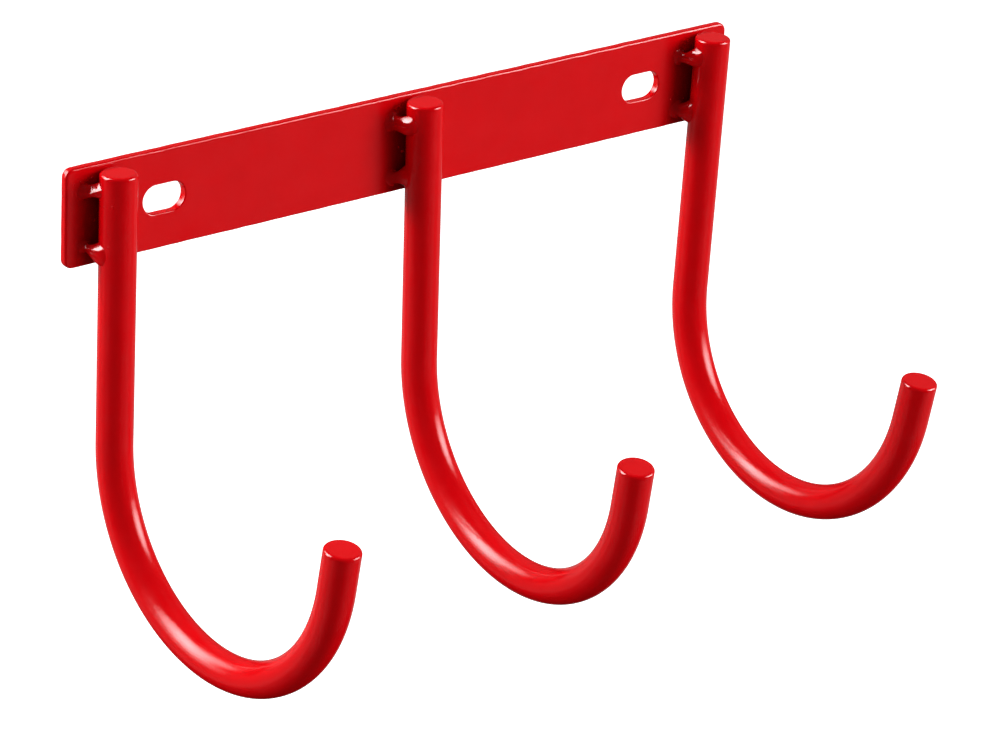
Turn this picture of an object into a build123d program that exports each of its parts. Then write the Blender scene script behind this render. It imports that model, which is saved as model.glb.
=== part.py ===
from build123d import *
import os

# A wall rack of three round-bar hooks tack welded to a slotted plate.
# The origin is the centre of the plate's back face, which lies on the wall at y = 0.
# +X runs along the plate, +Z is up, and the hooks reach out along -Y.
# Lengths are in millimetres and angles in degrees.

# Wall plate
plate_length = 280.0
plate_height = 34.2
plate_thickness = 3.0
plate_corner_radius = 3.2
plate_edge_radius = 0.8

# Oblong screw slots: their centres' distance from the plate's ends, and how far a screw can travel in one
slot_end_inset = 38.5
slot_width = 10.0
slot_travel = 6.6
slot_edge_radius = 0.4

# Round bar, and the gap behind it that the welds bridge
bar_diameter = 12.5
bar_rim_radius = 1.1
bar_stand_off = 0.8

# Hook form along the bar's centre line, from its top end to its tip; the outer bars stand in from the ends
hook_end_inset = 14.0
hook_top_drop = 1.8
shank_length = 93.0
bend_radius = 58.0
bend_angle = 171.0
tip_length = 15.5

# How each hook was set by hand: shift along the plate, lean of the shank towards the wall,
# sideways tilt of the shank, swing of the tip to the right, and rise of the sawn top end over the common level
left_shift = 1.5
left_lean = -0.7
left_tilt = 0.5
left_swing = 1.7
left_top_rise = 0.3
middle_shift = -0.3
middle_lean = 0.6
middle_tilt = -1.9
middle_swing = -1.6
middle_top_rise = 0.9
right_shift = 1.2
right_lean = 0.1
right_tilt = 1.4
right_swing = -0.1
right_top_rise = 0.6

# Tack welds: beads that stand on the plate beside the bar, narrow to a waist and turn on to the bar's flank.
# The toe angle is counted round the bar from the wall side; the toe's section lies a little inside the bar.
weld_outset = 2.2
weld_foot_half_width = 3.2
weld_foot_half_height = 3.4
weld_waist_half_width = 2.0
weld_waist_half_height = 2.0
weld_toe_angle = 72.0
weld_toe_half_width = 3.0
weld_toe_half_height = 3.4
weld_toe_sink = 1.2
upper_weld_drop = 6.4
lower_weld_rise = 5.8

# Places worked out from the sizes above
slot_spacing = plate_length - 2 * slot_end_inset
hook_pitch = plate_length / 2 - hook_end_inset
bar_radius = bar_diameter / 2
plate_front_y = -plate_thickness
bar_axis_y = plate_front_y - bar_stand_off - bar_radius
bar_top_z = plate_height / 2 - hook_top_drop
bend_start_z = bar_top_z - shank_length
upper_weld_z = bar_top_z - upper_weld_drop
lower_weld_z = lower_weld_rise - plate_height / 2


def hook_plane(station, shift, lean, tilt, swing):
    """The plane of a hook's centre line: origin on the bar at mid plate, x outward, y up the bar."""
    upright = Plane(
        origin=(station * hook_pitch + shift, bar_axis_y, 0),
        x_dir=(0, -1, 0),
        z_dir=(-1, 0, 0),
    )
    return upright.rotated((lean, tilt, swing), Extrinsic.XYZ)


def make_hook(plane, top_rise):
    """A bar that runs down the shank, round the bend and up the short tip."""
    with BuildPart() as hook:
        with BuildLine(plane):
            shank = Line((0, bar_top_z + top_rise), (0, bend_start_z))
            bend = CenterArc((bend_radius, bend_start_z), bend_radius, 180, bend_angle)
            Line(bend @ 1, bend @ 1 + (bend % 1) * tip_length)
        with BuildSketch(Plane(origin=shank @ 0, z_dir=shank % 0)):
            Circle(bar_radius)
        sweep()
        fillet(hook.faces().filter_by(GeomType.PLANE).edges(), bar_rim_radius)
    return hook.part


def make_weld(plane, level, side, bar):
    """A bead from the plate's face round on to the bar's flank, cut to the form of the bar."""
    bar_axis = plane.from_local_coords(Vector(0, level, 0))
    foot = Vector(bar_axis.X + side * (bar_radius + weld_outset), plate_front_y, bar_axis.Z)
    flank = Vector(0, 1, 0).rotate(Axis.Z, -side * weld_toe_angle)
    off_plate = Vector(0, -1, 0)
    waist = (foot + bar_axis + flank * bar_radius) / 2
    toe = bar_axis + flank * (bar_radius - weld_toe_sink)
    sections = [
        (foot, off_plate, weld_foot_half_width, weld_foot_half_height),
        (waist, (off_plate - flank).normalized(), weld_waist_half_width, weld_waist_half_height),
        (toe, -flank, weld_toe_half_width, weld_toe_half_height),
    ]
    with BuildPart() as weld:
        for centre, heading, half_width, half_height in sections:
            with BuildSketch(Plane(origin=centre, x_dir=heading.cross(Vector(0, 0, 1)), z_dir=heading)):
                Ellipse(half_width, half_height)
        loft()
        add(bar, mode=Mode.SUBTRACT)
    return weld.part


# Wall plate: a strip with rounded corners, softened edges and a slot near each end
with BuildPart() as back_plate:
    with BuildSketch(Plane.XZ):
        RectangleRounded(plate_length, plate_height, plate_corner_radius)
    extrude(amount=plate_thickness)
    fillet(back_plate.faces().filter_by(Axis.Y).edges(), plate_edge_radius)
    with BuildSketch(Plane.XZ):
        with GridLocations(slot_spacing, 0, 2, 1):
            SlotCenterToCenter(slot_travel, slot_width)
    extrude(amount=plate_thickness, mode=Mode.SUBTRACT)
    flat_faces = back_plate.faces().filter_by(Axis.Y)
    slot_rims = [wire for face in flat_faces for wire in face.inner_wires()]
    fillet([edge for rim in slot_rims for edge in rim.edges()], slot_edge_radius)

# Hooks and their welds, each hook with two beads on each flank
hook_settings = {
    "left_hook": ((-1, left_shift, left_lean, left_tilt, left_swing), left_top_rise),
    "middle_hook": ((0, middle_shift, middle_lean, middle_tilt, middle_swing), middle_top_rise),
    "right_hook": ((1, right_shift, right_lean, right_tilt, right_swing), right_top_rise),
}
weld_levels = {"upper": upper_weld_z, "lower": lower_weld_z}
weld_sides = {"left": -1, "right": 1}

nodes = {"back_plate": back_plate.part}
for hook_name, (setting, top_rise) in hook_settings.items():
    plane = hook_plane(*setting)
    bar = make_hook(plane, top_rise)
    nodes[hook_name] = bar
    for level_name, level in weld_levels.items():
        for side_name, side in weld_sides.items():
            weld_name = f"{hook_name}_{level_name}_{side_name}_weld"
            nodes[weld_name] = make_weld(plane, level, side, bar)

os.makedirs("parts", exist_ok=True)
for node_name, part in nodes.items():
    part.label = node_name
    export_step(part, f"parts/{node_name}.step")
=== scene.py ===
import math
import random

import bpy
from mathutils import Matrix, Vector, noise
from mathutils.geometry import delaunay_2d_cdt


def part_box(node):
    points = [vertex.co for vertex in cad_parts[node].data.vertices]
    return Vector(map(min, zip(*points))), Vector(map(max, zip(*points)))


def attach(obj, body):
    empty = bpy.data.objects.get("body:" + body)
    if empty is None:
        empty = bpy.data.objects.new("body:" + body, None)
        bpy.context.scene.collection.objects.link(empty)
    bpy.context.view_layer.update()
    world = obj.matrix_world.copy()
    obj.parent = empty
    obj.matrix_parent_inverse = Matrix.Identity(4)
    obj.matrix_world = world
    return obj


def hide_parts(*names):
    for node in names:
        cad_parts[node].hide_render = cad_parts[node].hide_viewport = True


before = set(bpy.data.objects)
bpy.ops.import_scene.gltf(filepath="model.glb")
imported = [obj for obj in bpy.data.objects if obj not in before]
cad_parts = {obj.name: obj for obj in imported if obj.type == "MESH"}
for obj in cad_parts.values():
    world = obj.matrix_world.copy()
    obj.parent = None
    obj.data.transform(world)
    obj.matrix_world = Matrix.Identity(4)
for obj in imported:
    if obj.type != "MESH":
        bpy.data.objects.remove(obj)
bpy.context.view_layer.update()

# A wall rack of three round-bar hooks tack welded to a slotted plate, powder coated red all over.
# Lengths are in metres and angles in radians, unless a comment says otherwise.
# The plate's back lies at y = 0 and the hooks reach out along -Y.
MM = 0.001

# Wall plate, measured from the frame, with the rounding of its corners and edges
plate_low, plate_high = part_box("back_plate")
plate_length = plate_high.x - plate_low.x
plate_height = plate_high.z - plate_low.z
plate_front = plate_low.y
plate_corner_radius = 3.2 * MM
plate_edge_radius = 0.8 * MM

# Oblong screw slots: the spacing of their centres, their width and how far a screw can travel in one
slot_spacing = 203 * MM
slot_width = 10.0 * MM
slot_travel = 6.6 * MM
slot_edge_radius = 0.4 * MM

# Round bar, the gap behind it and the drop of its top end below the plate's top edge
bar_radius = 6.25 * MM
bar_rim_radius = 1.1 * MM
bar_stand_off = 0.8 * MM
bar_top_drop = 1.8 * MM
bar_axis_y = plate_front - bar_stand_off - bar_radius
bar_top = plate_height / 2 - bar_top_drop

# A hook's form along its centre line, and the pitch of the hooks
hook_pitch = 126 * MM
shank_length = 93 * MM
bend_radius = 58 * MM
bend_angle = math.radians(171)
tip_length = 15.5 * MM
bar_length = shank_length + bend_radius * bend_angle + tip_length

# How each hook was set by hand: its station and shift along the plate, then its lean, tilt and swing
HOOKS = {
    "left_hook": (-1, 1.5 * MM, math.radians(-0.7), math.radians(0.5), math.radians(1.7)),
    "middle_hook": (0, -0.3 * MM, math.radians(0.6), math.radians(-1.9), math.radians(-1.6)),
    "right_hook": (1, 1.2 * MM, math.radians(0.1), math.radians(1.4), math.radians(-0.1)),
}

# How far each hook's sawn top end stands over the common level
TOP_RISES = {"left_hook": 0.3 * MM, "middle_hook": 0.9 * MM, "right_hook": 0.6 * MM}

# Tack welds on the left flanks, each drawn from a foot on the plate to a toe on the bar, in millimetres
# and degrees:
# - foot: distance from the bar's axis, level, half width, half height, angle of contact and pull;
# - toe: angle round the bar from the wall side, half angle, level, half height, angles of contact below
#   and above, and pull;
# - settling: the share of the way to the toe from which the bead settled to a flat, the share at which
#   that flat is measured, its depth and the height of the bead's ripples.
# A strong pull draws a narrow waist, and a depth of 0 leaves a bead round.
WELD_SIDES = {"left": -1, "right": 1}
LEFT_WELDS = {
    "left_hook_upper_left": (
        (8.6, 8.6, 2.9, 3.0, 40, 1.0), (62, 24, 9.8, 2.8, 70, 70, 1.0), (0.3, 0.75, 0.8, 0.015)),
    "left_hook_lower_left": (
        (8.2, -10.3, 2.8, 2.4, 18, 1.25), (78, 31, -11.4, 3.9, 58, 58, 1.25), (0.1, 0.6, 0.5, 0.015)),
    "middle_hook_upper_left": (
        (8.3, 8.2, 3.3, 4.2, 24, 1.5), (88, 34, 8.8, 3.4, 85, 85, 1.1), (0.0, 0.72, 0.6, 0.01)),
    "middle_hook_lower_left": (
        (8.0, -11.8, 3.3, 3.2, 18, 1.25), (62, 27, -10.4, 3.9, 30, 30, 1.25), (0.5, 0.5, 0, 0.01)),
    "right_hook_upper_left": (
        (8.8, 8.0, 3.0, 3.2, 18, 1.5), (83, 30, 9.2, 3.8, 85, 45, 1.0), (0.6, 0.75, 0.22, 0.01)),
    "right_hook_lower_left": (
        (8.0, -11.6, 3.3, 3.6, 18, 1.6), (62, 29, -11.5, 4.1, 70, 45, 1.5), (0.5, 0.5, 0, 0.01)),
}

# Tack welds on the right flanks, the same on each hook
RIGHT_WELDS = {
    "upper": ((8.3, 8.8, 3.2, 3.4, 20, 1.4), (72, 30, 9.2, 3.4, 75, 75, 1.1), (0.5, 0.5, 0, 0.02)),
    "lower": ((8.2, -11.3, 3.2, 3.2, 20, 1.4), (70, 30, -11.3, 3.5, 60, 60, 1.25), (0.5, 0.5, 0, 0.02)),
}

# How deep a bead is sunk into plate and bar, the share by which its contact with the bar eases to the
# front, the direction that its flat faces, how round the flat stays and over what share it begins
weld_sink = 0.15 * MM
toe_ease = 0.55
settled_way = Vector((-0.75, -0.16, 0.64)).normalized()
settled_rounding = 0.2
settled_run = 0.25

# Unevenness of a bead: swelling of its foot and toe in two and in three lobes, as shares, ripples and lumps
two_lobe_swell = 0.05
three_lobe_swell = 0.03
weld_ripples = 4
weld_lump_size = 2.2 * MM
weld_lump_height = 0.03 * MM

# Weld spatter: drops on the plate, by distance from a bar's axis and level, and drops on a bar, by angle
# round it from the wall side and level, each with its radius, in millimetres and degrees
PLATE_SPATTER = {
    "left_hook": (
        (-10.2, 12.2, 0.35), (-12.1, 11.6, 0.3), (-9.4, 10.7, 0.4), (-7.1, 12.3, 0.45),
        (-5.6, 12.7, 0.4), (-4.1, -2.0, 0.35), (-10.9, -8.2, 0.3)),
    "middle_hook": (
        (-5.3, -1.4, 0.4), (-3.8, -3.1, 0.55), (-6.6, 12.6, 0.45), (-5.2, 13.4, 0.5), (-9.8, -7.4, 0.3)),
    "right_hook": (
        (-6.2, 12.4, 0.45), (-4.9, 13.2, 0.4), (-7.6, 13.0, 0.3), (-11.2, -7.3, 0.4), (-5.0, -8.0, 0.35)),
}
BAR_SPATTER = {
    "left_hook": (
        (96, 5.3, 0.3), (125, 6.0, 0.25), (112, -8.2, 0.25), (175, -12.2, 0.2), (133, -30.1, 0.16)),
    "middle_hook": ((128, -4.0, 0.2), (118, -52.0, 0.16)),
    "right_hook": ((121, 2.5, 0.2), (139, -41.0, 0.16)),
}
spatter_flatness = 0.7

# Painted shade: a dark coat colour laid into the gaps behind the bars as their shade, each pair giving
# where it
# begins and where it is darkest: on the plate by the distance from a bar's axis and from the plate's top
# edge, on a bar and on a bead by the distance from the plate. A bead's colour darkens by that share only.
PLATE_SHADE_SPANS = {
    "left_hook": (11.5 * MM, 6.5 * MM),
    "middle_hook": (11.5 * MM, 6.5 * MM),
    "right_hook": (16.5 * MM, 7.0 * MM),
}
top_shade_span = (2.5 * MM, 8.0 * MM)
bar_shade_span = (4.0 * MM, 1.0 * MM)
weld_shade_span = (6.0 * MM, 0.5 * MM)
weld_shade_share = 0.4

# Full, glossier coating as a share: on the plate's edges, in the slots, on the sawn ends' rims and on welds
edge_coat = 0.6
slot_coat = 1.0
rim_coat = 0.6
weld_coat = 0.5

# Coating that drew together beside an edge: distance in from the rounding and swelling, in millimetres
FAT_EDGE = ((1.7, 0), (1.25, 0.008), (0.85, -0.012), (0.45, 0.02), (0.15, 0.01))

# Waviness of the coated edges with the change of their radius, as a share, and lines along the drawn bar
edge_wave_depth = 0.06 * MM
edge_wave_length = 5.0 * MM
edge_radius_change = 0.3
draw_line_depth = 0.03 * MM
draw_line_length = 90 * MM
draw_line_width = 3.2 * MM

# Fineness of the meshes
bar_segments = 120
bar_step = 1.2 * MM
rim_steps = 8
cap_steps = 8
outline_step = 1.0 * MM
face_step = 2.0 * MM
merge_distance = 1e-9
arc_steps = 12
weld_segments = 64
weld_steps = 32
spatter_segments = 16
spatter_steps = 6


def new_piece(name, points, faces, **coat_and_shade):
    """A smooth-shaded mesh object, with what is told of the coating and of the painted shade on each point.
    """
    mesh = bpy.data.meshes.new(name)
    mesh.from_pydata(points, [], faces)
    mesh.shade_smooth()
    for quality, shares in coat_and_shade.items():
        mesh.attributes.new(quality, "FLOAT", "POINT").data.foreach_set("value", shares)
    piece = bpy.data.objects.new(name, mesh)
    bpy.context.scene.collection.objects.link(piece)
    return piece


def dress(piece, node, material):
    """Puts a piece in the place of a solid, with its finish."""
    piece.data.materials.append(material)
    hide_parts(node)
    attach(piece, "root")


def fade(value, none, full):
    """A smooth share from 0 at one value to 1 at another."""
    share = min(max((value - none) / (full - none), 0), 1)
    return share * share * (3 - 2 * share)


def bridge_rings(rings):
    """Quads between rings of the same number of points, each ring a list of point numbers."""
    faces = []
    for first, second in zip(rings, rings[1:]):
        for i in range(len(first)):
            j = (i + 1) % len(first)
            faces.append((first[i], first[j], second[j], second[i]))
    return faces


# Hooks
def hook_frame(setting):
    """A hook's origin on the bar at mid plate, and its outward, upward and sideways directions."""
    station, shift, lean, tilt, swing = setting
    turn = Matrix.Rotation(swing, 3, "Z") @ Matrix.Rotation(tilt, 3, "Y") @ Matrix.Rotation(lean, 3, "X")
    origin = Vector((station * hook_pitch + shift, bar_axis_y, 0))
    return origin, turn @ Vector((0, -1, 0)), turn @ Vector((0, 0, 1)), turn @ Vector((1, 0, 0))


def centre_line(distance):
    """Place and heading at a distance along the bar from the common level, as outward and upward parts."""
    turn = min(max((distance - shank_length) / bend_radius, 0), bend_angle)
    beyond = max(distance - shank_length - bend_radius * bend_angle, 0)
    heading = Vector((math.sin(turn), -math.cos(turn)))
    bend_start = bar_top - shank_length
    if distance < shank_length:
        return Vector((0, bar_top - distance)), heading
    bent = Vector((bend_radius * (1 - math.cos(turn)), bend_start - bend_radius * math.sin(turn)))
    return bent + beyond * heading, heading


def bar_profile(top):
    """Distance along the bar and radius of each ring, over the top end, its rim, the length and the tip."""
    flat_radius = bar_radius - bar_rim_radius
    end = [(0, flat_radius * i / cap_steps) for i in range(1, cap_steps)]
    for i in range(rim_steps + 1):
        angle = math.pi / 2 * i / rim_steps
        depth = bar_rim_radius * (1 - math.cos(angle))
        end.append((depth, flat_radius + bar_rim_radius * math.sin(angle)))
    inner_length = bar_length - top - 2 * bar_rim_radius
    steps = round(inner_length / bar_step)
    length = [(top + bar_rim_radius + inner_length * i / steps, bar_radius) for i in range(1, steps)]
    tip = [(bar_length - depth, radius) for depth, radius in reversed(end)]
    return [(top + depth, radius) for depth, radius in end] + length + tip


def draw_lines(distance, angle):
    """Depth of the lines that drawing left along the bar."""
    girth = bar_radius / draw_line_width
    spot = Vector((girth * math.cos(angle), girth * math.sin(angle), distance / draw_line_length))
    return draw_line_depth * (1 + noise.noise(spot) / 2)


def make_hook(name, setting, material):
    """A bar swept down the shank, round the bend and up the short tip."""
    origin, outward, upward, sideways = hook_frame(setting)
    top = -TOP_RISES[name]

    def place(distance, radius, angle):
        (reach, height), (go_out, go_up) = centre_line(distance)
        across = -go_up * outward + go_out * upward
        spot = origin + reach * outward + height * upward
        return spot + radius * (math.cos(angle) * across + math.sin(angle) * sideways)

    points = []
    rings = []
    flow = []
    for distance, radius in bar_profile(top):
        rings.append(range(len(points), len(points) + bar_segments))
        near_end = min(distance - top, bar_length - distance) < bar_rim_radius
        on_rim = near_end and radius > bar_radius - bar_rim_radius
        flow += [rim_coat * on_rim] * bar_segments
        for i in range(bar_segments):
            angle = 2 * math.pi * i / bar_segments
            drawn = draw_lines(distance, angle) * radius / bar_radius
            points.append(place(distance, radius - drawn, angle))
    faces = bridge_rings(rings)
    for distance, ring in ((top, list(reversed(rings[0]))), (bar_length, list(rings[-1]))):
        points.append(place(distance, 0, 0))
        faces += [(ring[i - 1], ring[i], len(points) - 1) for i in range(bar_segments)]
        flow.append(0.0)
    # Painted shade: the bar darkens on its back where it nears the plate, in the shade of the gap
    shade_shares = [fade(plate_front - spot.y, *bar_shade_span) * (spot.z > plate_low.z) for spot in points]
    bar = new_piece(f"{name}_bar", points, faces, thin_coat=shade_shares, full_coat=flow)
    dress(bar, name, material)


# Wall plate
def rounded_outline(length, height, radius):
    """Points and outward directions round a rectangle with rounded corners, anticlockwise."""
    outline = []
    half = Vector((length / 2 - radius, height / 2 - radius))
    corners = [(1, 1, 0), (-1, 1, 90), (-1, -1, 180), (1, -1, 270)]
    for number, (side, top, start) in enumerate(corners):
        centre = Vector((side * half.x, top * half.y))
        for i in range(arc_steps):
            angle = math.radians(start + 90 * i / arc_steps)
            away = Vector((math.cos(angle), math.sin(angle)))
            outline.append((centre + radius * away, away))
        next_side, next_top, _ = corners[(number + 1) % 4]
        run = Vector((next_side * half.x, next_top * half.y)) - centre
        away = Vector((math.cos(math.radians(start + 90)), math.sin(math.radians(start + 90))))
        steps = math.ceil(run.length / outline_step)
        for i in range(steps):
            outline.append((centre + radius * away + run * i / steps, away))
    return outline


def edge_lines(radius):
    """Inset and depth of each line over a rounded edge, from the front face round to the back."""
    lines = [(radius + inset * MM, plate_front - swelling * MM) for inset, swelling in FAT_EDGE]
    for i in range(rim_steps + 1):
        angle = math.pi / 2 * i / rim_steps
        lines.append((radius * (1 - math.sin(angle)), plate_front + radius * (1 - math.cos(angle))))
    for i in range(rim_steps + 1):
        angle = math.pi / 2 * (1 + i / rim_steps)
        lines.append((radius * (1 - math.sin(angle)), -radius * (1 + math.cos(angle))))
    return lines + [(radius + inset * MM, 0) for inset, _ in reversed(FAT_EDGE)]


def slot_distance(spot, side):
    """How far a place on the plate lies outside the slot on that side."""
    x = abs(spot.x - side * slot_spacing / 2) - slot_travel / 2
    return math.hypot(max(x, 0), spot.y) - slot_width / 2


def flat_face(points, faces, rims, depth):
    """Fills a face of the plate between its rims with even triangles."""
    numbers = [i for rim in rims for i in rim]
    flat = [Vector((points[i].x, points[i].z)) for i in numbers]
    loops = []
    for rim in rims:
        start = sum(len(loop) for loop in loops)
        loop = list(range(start, start + len(rim)))
        loops.append(loop[::-1] if loops else loop)
    rim_width = FAT_EDGE[0][0] * MM + face_step
    columns = int((plate_length / 2 - plate_edge_radius - rim_width) / face_step)
    rows = int((plate_height / 2 - plate_edge_radius - rim_width) / face_step)
    for column in range(-columns, columns + 1):
        for row in range(-rows, rows + 1):
            spot = Vector((column * face_step, row * face_step))
            if min(slot_distance(spot, side) for side in (-1, 1)) > slot_edge_radius + rim_width:
                flat.append(spot)
                numbers.append(len(points))
                points.append(Vector((spot.x, depth, spot.y)))
    inside_with_holes = 2
    mesh = delaunay_2d_cdt(flat, [], loops, inside_with_holes, merge_distance)
    _, _, triangles, origins, _, _ = mesh
    front = depth < 0
    for triangle in triangles:
        corners = [numbers[origins[i][0]] for i in triangle]
        faces.append(corners if front else corners[::-1])


def plate_painted_shade(spot):
    """How much painted shade darkens the plate's colour in the gaps behind the bars, as a share."""
    if spot.y > plate_front / 2:
        return 0
    shares = []
    for name, setting in HOOKS.items():
        origin, _, upward, _ = hook_frame(setting)
        away = abs(spot.x - origin.x - spot.z * upward.x)
        shares.append(fade(away, *PLATE_SHADE_SPANS[name]))
    return max(shares) * fade(plate_high.z - spot.z, *top_shade_span)


def make_plate(material):
    """A strip with rounded corners, softened edges and a slot near each end."""
    rim = rounded_outline(plate_length, plate_height, plate_corner_radius)
    slot = rounded_outline(slot_travel + slot_width, slot_width, slot_width / 2)
    loops = [(rim, 1, plate_edge_radius, edge_coat)]
    for side in (-1, 1):
        centre = Vector((side * slot_spacing / 2, 0))
        hole = [(spot + centre, away) for spot, away in reversed(slot)]
        loops.append((hole, -1, slot_edge_radius, slot_coat))
    points = []
    faces = []
    flow = []
    fronts = []
    backs = []
    for outline, facing, edge_radius, full in loops:
        columns = []
        for spot, away in outline:
            ripple = noise.noise(Vector((spot.x, spot.y, facing)) / edge_wave_length)
            swing = noise.noise(Vector((spot.x, facing, spot.y)) / edge_wave_length)
            wave = edge_wave_depth * (1 + swing) / 2
            column = []
            for inset, depth in edge_lines(edge_radius * (1 + edge_radius_change * ripple)):
                flat = spot - facing * (inset + wave) * away
                column.append(len(points))
                points.append(Vector((flat.x, depth, flat.y)))
                flow.append(full * (inset < edge_radius))
            columns.append(column)
        rings = [list(ring) for ring in zip(*columns)]
        faces += bridge_rings([ring[::-1] for ring in rings])
        fronts.append(rings[0])
        backs.append(rings[-1])
    flat_face(points, faces, fronts, plate_front)
    flat_face(points, faces, backs, 0)
    flow += [0.0] * (len(points) - len(flow))
    # Painted shade: the plate darkens beside each bar, where the gap lies in shade
    shade_shares = [plate_painted_shade(spot) for spot in points]
    plate = new_piece("plate", points, faces, thin_coat=shade_shares, full_coat=flow)
    dress(plate, "back_plate", material)


# Tack welds
def settle_bead(points, rings, settling):
    """Flattens a bead where it settled, and gives it ripples and lumps between its ends."""
    settled_from, settled_at, settled_depth, ripple_height = settling
    crest = max(points[i].dot(settled_way) for i in rings[round(settled_at * weld_steps)])
    for step, ring in enumerate(rings):
        t = step / weld_steps
        middle = sum((points[i] for i in ring), Vector()) / len(ring)
        begun = fade(t, settled_from, settled_from + settled_run)
        settled = (1 - settled_rounding) * (settled_depth > 0) * begun
        ripple = ripple_height * MM * math.sin(2 * math.pi * weld_ripples * t)
        for i in ring:
            over = points[i].dot(settled_way) - crest + settled_depth * MM
            points[i] -= settled * max(over, 0) * settled_way
            lump = weld_lump_height * noise.noise(points[i] / weld_lump_size)
            points[i] += math.sin(math.pi * t) * (ripple + lump) * (points[i] - middle).normalized()


def make_weld(hook_name, setting, level_name, side_name, material):
    """A bead drawn from the plate's face to the bar's flank, as molten metal bridges the two."""
    origin, outward, upward, sideways = hook_frame(setting)
    side = WELD_SIDES[side_name]
    name = f"{hook_name}_{level_name}_{side_name}"
    foot_sizes, toe_sizes, settling = LEFT_WELDS.get(name, RIGHT_WELDS[level_name])
    foot_x, foot_z, foot_half_x, foot_half_z, foot_contact, foot_pull = foot_sizes
    toe_angle, toe_half_angle, toe_z, toe_half_z, contact_below, contact_above, toe_pull = toe_sizes
    plate_contact = math.radians(foot_contact)
    wobble = random.Random(name)
    phases = [wobble.uniform(0, 2 * math.pi) for _ in range(4)]
    axis_x = origin.x + foot_z * MM * upward.x
    foot = Vector((axis_x + side * foot_x * MM, plate_front + weld_sink, foot_z * MM))

    def swell(angle, phase):
        two_lobes = two_lobe_swell * math.sin(2 * angle + phases[phase])
        return 1 + two_lobes + three_lobe_swell * math.sin(3 * angle + phases[phase + 1])

    points = []
    rings = [[] for _ in range(weld_steps + 1)]
    for i in range(weld_segments):
        angle = 2 * math.pi * i / weld_segments
        away, rise = math.cos(angle), math.sin(angle)
        spread = Vector((side * foot_half_x * away, 0, foot_half_z * rise)) * MM * swell(angle, 0)
        start = foot + spread
        turn = math.radians(toe_angle + toe_half_angle * away * swell(angle, 2))
        flank = -math.cos(turn) * outward + side * math.sin(turn) * sideways
        around = math.sin(turn) * outward + side * math.cos(turn) * sideways
        height = (toe_z + toe_half_z * rise * swell(angle, 2)) * MM
        end = origin + height * upward + (bar_radius - weld_sink) * flank
        toe_away = (away * around + rise * upward).normalized()
        length = (end - start).length
        contact = contact_below + (contact_above - contact_below) * fade(rise, 0, 1)
        bar_contact = math.radians(contact) * (1 - toe_ease * max(away, 0))
        off_plate = Vector((0, -math.sin(plate_contact), 0))
        leave = -math.cos(plate_contact) * spread.normalized() + off_plate
        arrive = math.cos(bar_contact) * toe_away - math.sin(bar_contact) * flank
        for step in range(weld_steps + 1):
            t = step / weld_steps
            spot = (2 * t**3 - 3 * t**2 + 1) * start + (t**3 - 2 * t**2 + t) * foot_pull * length * leave
            spot += (3 * t**2 - 2 * t**3) * end + (t**3 - t**2) * toe_pull * length * arrive
            rings[step].append(len(points))
            points.append(spot)
    settle_bead(points, rings, settling)
    faces = bridge_rings(rings)
    faces += [tuple(reversed(rings[0])), tuple(rings[-1])]
    if side > 0:
        faces = [tuple(reversed(face)) for face in faces]
    # Painted shade: a bead darkens by a share where it lies deep in the gap beside a bar
    depths = [fade(plate_front - spot.y, *weld_shade_span) for spot in points]
    shade_shares = [weld_shade_share * depth * plate_painted_shade(spot) for depth, spot in zip(depths, points)]
    flow = [weld_coat] * len(points)
    bead = new_piece(f"{name}_bead", points, faces, thin_coat=shade_shares, full_coat=flow)
    dress(bead, f"{name}_weld", material)


# Weld spatter
def add_drop(points, faces, spot, up, radius):
    """A small round drop that stands on a surface, sunk a little into it."""
    side = up.orthogonal().normalized()
    other = up.cross(side)
    rings = []
    for step in range(spatter_steps):
        lean = math.pi / 2 * (1 - step / spatter_steps)
        rings.append(range(len(points), len(points) + spatter_segments))
        for i in range(spatter_segments):
            turn = 2 * math.pi * i / spatter_segments
            around = math.cos(turn) * side + math.sin(turn) * other
            rise = spatter_flatness * math.cos(lean) * radius
            points.append(spot + math.sin(lean) * radius * around + (rise - weld_sink / 2) * up)
    faces += bridge_rings(rings)
    points.append(spot + (spatter_flatness * radius - weld_sink / 2) * up)
    top = rings[-1]
    faces += [(top[i - 1], top[i], len(points) - 1) for i in range(spatter_segments)]
    faces.append(tuple(reversed(rings[0])))


def make_spatter(material):
    """Drops of weld metal that flew on to the plate and the bars and were coated over."""
    points = []
    faces = []
    for hook_name, setting in HOOKS.items():
        origin, outward, upward, sideways = hook_frame(setting)
        for away, level, radius in PLATE_SPATTER[hook_name]:
            spot = Vector((origin.x + (away + level * upward.x) * MM, plate_front, level * MM))
            add_drop(points, faces, spot, Vector((0, -1, 0)), radius * MM)
        for turn, level, radius in BAR_SPATTER[hook_name]:
            angle = math.radians(turn)
            flank = -math.cos(angle) * outward - math.sin(angle) * sideways
            spot = origin + level * MM * upward + bar_radius * flank
            add_drop(points, faces, spot, flank, radius * MM)
    piece = new_piece("weld_spatter", points, faces, full_coat=[weld_coat] * len(points))
    piece.data.materials.append(material)
    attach(piece, "root")


# Finish: colours of the coating, deep and light in clouds, and a dark red painted into the gaps as their
# shade, then its roughness and its reflection, plain and full, and the height of its orange peel
DEEP_RED = (0.575, 0.0002, 0.0022, 1)
LIGHT_RED = (0.645, 0.0003, 0.003, 1)
# Painted shade: the dark red laid into the gaps for their shade
PAINTED_SHADE_RED = (0.3, 0.0008, 0.0015, 1)
coat_ior = 1.5
plain_roughness = (0.145, 0.2)
full_roughness = (0.08, 0.13)
plain_reflection = 0.5
full_reflection = 1.0
peel_height = 0.035 * MM

# Clouds in the coating, by size and detail, and the range in which most of their values lie
colour_clouds = (9 * MM, 4)
plain_gloss_clouds = (5 * MM, 3)
full_gloss_clouds = (2 * MM, 2)
peel_clouds = (2.2 * MM, 2)
cloud_range = (0.3, 0.7)


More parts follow.
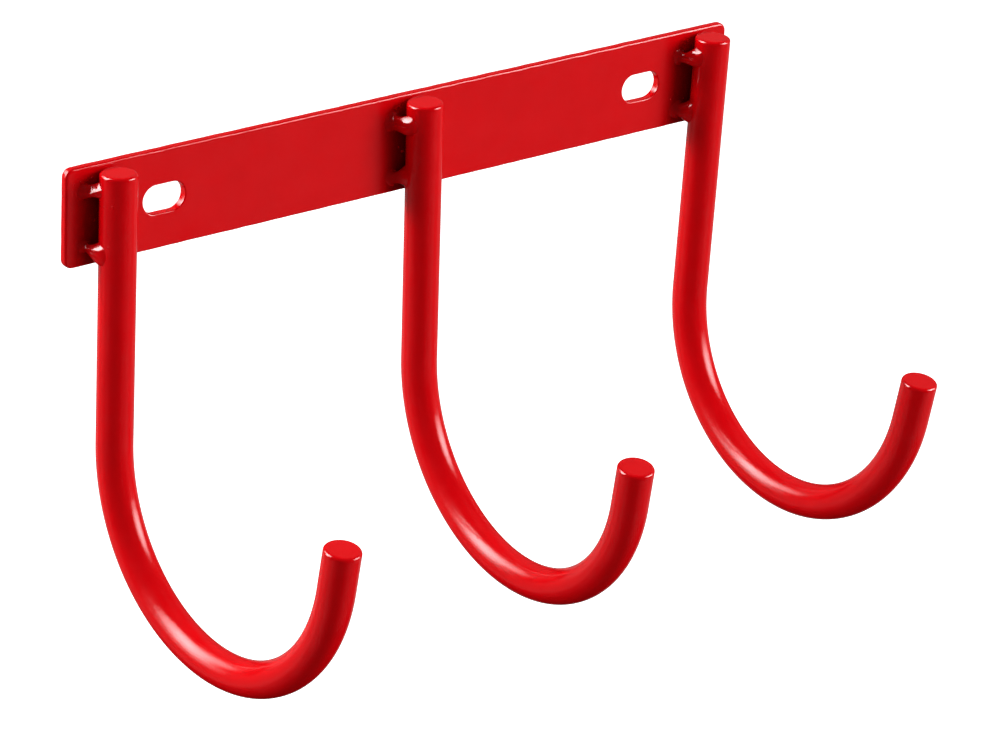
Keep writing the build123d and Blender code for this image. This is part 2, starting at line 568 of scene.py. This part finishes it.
def red_powder_coat():
    """Glossy red powder coat with orange peel and an uneven depth of colour, with shade painted dark into
    the gaps.
    """
    material = bpy.data.materials.new("red_powder_coat")
    material.use_nodes = True
    nodes = material.node_tree.nodes
    links = material.node_tree.links
    shader = nodes["Principled BSDF"]
    shader.inputs["IOR"].default_value = coat_ior
    place = nodes.new("ShaderNodeTexCoord")

    def clouds(size, detail):
        texture = nodes.new("ShaderNodeTexNoise")
        texture.inputs["Scale"].default_value = 1 / size
        texture.inputs["Detail"].default_value = detail
        links.new(place.outputs["Object"], texture.inputs["Vector"])
        return texture.outputs["Fac"]

    def quality(name):
        attribute = nodes.new("ShaderNodeAttribute")
        attribute.attribute_name = name
        return attribute.outputs["Fac"]

    def blend(share, first, second):
        mix = nodes.new("ShaderNodeMix")
        mix.data_type = "RGBA"
        links.new(share, mix.inputs["Factor"])
        for colour, socket in ((first, mix.inputs["A"]), (second, mix.inputs["B"])):
            if isinstance(colour, tuple):
                socket.default_value = colour
            else:
                links.new(colour, socket)
        return mix.outputs["Result"]

    def spread(share, span, least, most):
        scale = nodes.new("ShaderNodeMapRange")
        scale.inputs["From Min"].default_value = span[0]
        scale.inputs["From Max"].default_value = span[1]
        scale.inputs["To Min"].default_value = least
        scale.inputs["To Max"].default_value = most
        links.new(share, scale.inputs["Value"])
        return scale.outputs["Result"]

    body = blend(clouds(*colour_clouds), DEEP_RED, LIGHT_RED)
    # Painted shade: the base colour turns dark red in the gaps behind the bars
    links.new(blend(quality("thin_coat"), body, PAINTED_SHADE_RED), shader.inputs["Base Color"])

    gloss = nodes.new("ShaderNodeMix")
    links.new(quality("full_coat"), gloss.inputs["Factor"])
    links.new(spread(clouds(*plain_gloss_clouds), cloud_range, *plain_roughness), gloss.inputs["A"])
    links.new(spread(clouds(*full_gloss_clouds), cloud_range, *full_roughness), gloss.inputs["B"])
    links.new(gloss.outputs["Result"], shader.inputs["Roughness"])
    reflection = spread(quality("full_coat"), (0, 1), plain_reflection, full_reflection)
    links.new(reflection, shader.inputs["Specular IOR Level"])

    peel = nodes.new("ShaderNodeBump")
    peel.inputs["Strength"].default_value = 1
    peel.inputs["Distance"].default_value = peel_height
    links.new(clouds(*peel_clouds), peel.inputs["Height"])
    links.new(peel.outputs["Normal"], shader.inputs["Normal"])
    return material


# Studio: lights that show in the paint's colour, and softboxes and cards that show in its gloss. Each has
# its angle to the right of the camera, its height and its roll in degrees, its width and its height, and
# last its radiance. A light has its reach before that, by which its distance and its size are multiplied.
# A softbox is brighter towards its middle, in even steps, each a multiple of its size.
LIGHTING = {
    "left_light": (-83, 35, 0, 0.8, 0.92, 2, 2.5),
    "left_light_low": (-81, 15, 0, 0.5, 0.5, 1, 9.2),
    "left_light_wing": (-112, 35, 0, 0.35, 0.6, 1, 10.4),
    "left_light_below": (-70, -35, 0, 1.2, 0.9, 1, 1.0),
    "right_light": (81, 22, -20, 0.7, 0.6, 3, 9.0),
    "right_light_low": (95, 8, 0, 0.6, 0.5, 2.9, 2.8),
    "right_light_below": (70, -35, 0, 1.2, 0.9, 1, 0.83),
    "top_light": (180, 60, 0, 1.5, 1.5, 2, 0.8),
}
SOFTBOXES = {
    "left_box": (-81, 35, 0, 0.6, 0.76, 11.0),
    "left_box_low": (-83, 8, 0, 0.4, 0.4, 2.0),
    "left_box_wing": (-109, 30, 0, 0.34, 0.52, 3.4),
    "right_box": (90, 22, -22, 0.68, 0.48, 9.0),
    "right_box_low": (107, 7, 0, 0.32, 0.26, 2.2),
}
SOFTBOX_STEPS = (1.65, 1.3, 0.95, 0.55)
CARDS = {
    "left_card": (-100, -20, 0, 1.2, 0.8, 0.1),
    "right_card": (95, -20, 0, 1.2, 0.8, 0.085),
    "backdrop": (180, -27, 0, 4, 1.0, 0.2),
    "backdrop_top": (180, 27, 0, 4, 1.0, 0.088),
}

# Distance of a panel of reach 1, the reach of the first card and softbox step with what each next one
# loses, so that no two lie in one plane, and a panel's power for its area and radiance
panel_distance = 1.3
card_reach, card_reach_step = 0.99, 0.003
softbox_reach, softbox_reach_step = 0.97, 0.01
panel_power = 4

# Even fill from all round, and the white floor
fill_radiance = 0.22
floor_size = 40
floor_level = -1.0
floor_grey = 0.8

# Camera: its view of the rack, and its picture in pixels
camera_azimuth = math.radians(40.213)
camera_elevation = math.radians(23.532)
camera_roll = math.radians(3.027)
camera_distance = 1536.479 * MM
camera_target = Vector((1.726, -50, -78.586)) * MM
camera_sensor_width = 36
camera_clip_end = 100
picture_width = 1000
picture_height = 732
focal_pixels = 4575.534
centre_pixel = (492.469, 400.844)


def studio_direction(azimuth, elevation):
    """A direction given by its angle to the right of the camera and its height, in degrees."""
    turn = camera_azimuth - math.radians(azimuth)
    level = math.cos(math.radians(elevation))
    return Vector((-math.sin(turn) * level, -math.cos(turn) * level, math.sin(math.radians(elevation))))


def make_camera():
    """The camera at the photograph's viewing angle."""
    camera = bpy.data.objects.new("camera", bpy.data.cameras.new("camera"))
    bpy.context.scene.collection.objects.link(camera)
    back = studio_direction(0, math.degrees(camera_elevation))
    right = Vector((math.cos(camera_azimuth), -math.sin(camera_azimuth), 0))
    up = back.cross(right)
    level = Matrix((right, up, back)).transposed()
    turned = level @ Matrix.Rotation(camera_roll, 3, "Z")
    camera.matrix_world = Matrix.Translation(camera_target + camera_distance * back) @ turned.to_4x4()
    camera.data.sensor_width = camera_sensor_width
    camera.data.lens = focal_pixels * camera_sensor_width / picture_width
    camera.data.shift_x = (picture_width / 2 - centre_pixel[0]) / picture_width
    camera.data.shift_y = (centre_pixel[1] - picture_height / 2) / picture_width
    camera.data.clip_end = camera_clip_end
    bpy.context.scene.camera = camera


def make_panel(name, place, shape, reach, radiance, seen_by):
    """An area light that faces the rack and shows either in the paint's colour or mirrored in its gloss."""
    azimuth, elevation, roll, width, height = place
    away = studio_direction(azimuth, elevation)
    light = bpy.data.lights.new(name, "AREA")
    light.shape = shape
    light.size = width * reach
    light.size_y = height * reach
    area = light.size * light.size_y * (math.pi / 4 if shape == "ELLIPSE" else 1)
    light.energy = radiance * area * panel_power
    panel = bpy.data.objects.new(name, light)
    facing = away.to_track_quat("Z", "Y").to_matrix() @ Matrix.Rotation(math.radians(roll), 3, "Z")
    stand = camera_target + reach * panel_distance * away
    panel.matrix_world = Matrix.Translation(stand) @ facing.to_4x4()
    panel.visible_camera = False
    panel.visible_diffuse = seen_by == "diffuse"
    panel.visible_glossy = seen_by == "gloss"
    bpy.context.scene.collection.objects.link(panel)


def make_lights():
    """Lights and softboxes at the sides, and pale cards."""
    for name, (*place, reach, radiance) in LIGHTING.items():
        make_panel(name, place, "RECTANGLE", reach, radiance, "diffuse")
    for number, (name, (*place, radiance)) in enumerate(CARDS.items()):
        reach = card_reach - card_reach_step * number
        make_panel(name, place, "RECTANGLE", reach, radiance, "gloss")
    steps = len(SOFTBOX_STEPS)
    for number, (name, (*place, width, height, radiance)) in enumerate(SOFTBOXES.items()):
        for step, spread in enumerate(SOFTBOX_STEPS):
            reach = softbox_reach - softbox_reach_step * (steps * number + step)
            sized = (*place, spread * width, spread * height)
            make_panel(f"{name}_{step}", sized, "ELLIPSE", reach, radiance / steps, "gloss")


def make_fill():
    """A dim even light from all round, which the gloss doesn't mirror."""
    world = bpy.data.worlds.new("studio")
    bpy.context.scene.world = world
    world.use_nodes = True
    background = world.node_tree.nodes["Background"]
    background.inputs["Color"].default_value = (1, 1, 1, 1)
    background.inputs["Strength"].default_value = fill_radiance
    world.cycles_visibility.glossy = False
    world.cycles.sampling_method = "NONE"


def make_floor():
    """A white floor far below the rack."""
    corner = floor_size / 2
    mesh = bpy.data.meshes.new("floor")
    corners = [(x * corner, y * corner, floor_level) for x, y in ((-1, -1), (1, -1), (1, 1), (-1, 1))]
    mesh.from_pydata(corners, [], [(0, 1, 2, 3)])
    floor = bpy.data.objects.new("floor", mesh)
    bpy.context.scene.collection.objects.link(floor)
    material = bpy.data.materials.new("white_floor")
    material.use_nodes = True
    shader = material.node_tree.nodes["Principled BSDF"]
    shader.inputs["Base Color"].default_value = (floor_grey, floor_grey, floor_grey, 1)
    shader.inputs["Emission Color"].default_value = (1, 1, 1, 1)
    shader.inputs["Emission Strength"].default_value = 1
    floor.data.materials.append(material)
    floor.visible_diffuse = False
    floor.visible_glossy = False


coat = red_powder_coat()
make_plate(coat)
for hook_name, setting in HOOKS.items():
    make_hook(hook_name, setting, coat)
    for level_name in RIGHT_WELDS:
        for side_name in WELD_SIDES:
            make_weld(hook_name, setting, level_name, side_name, coat)
make_spatter(coat)
make_camera()
make_lights()
make_fill()
make_floor()
bpy.context.scene.view_settings.view_transform = "Standard"
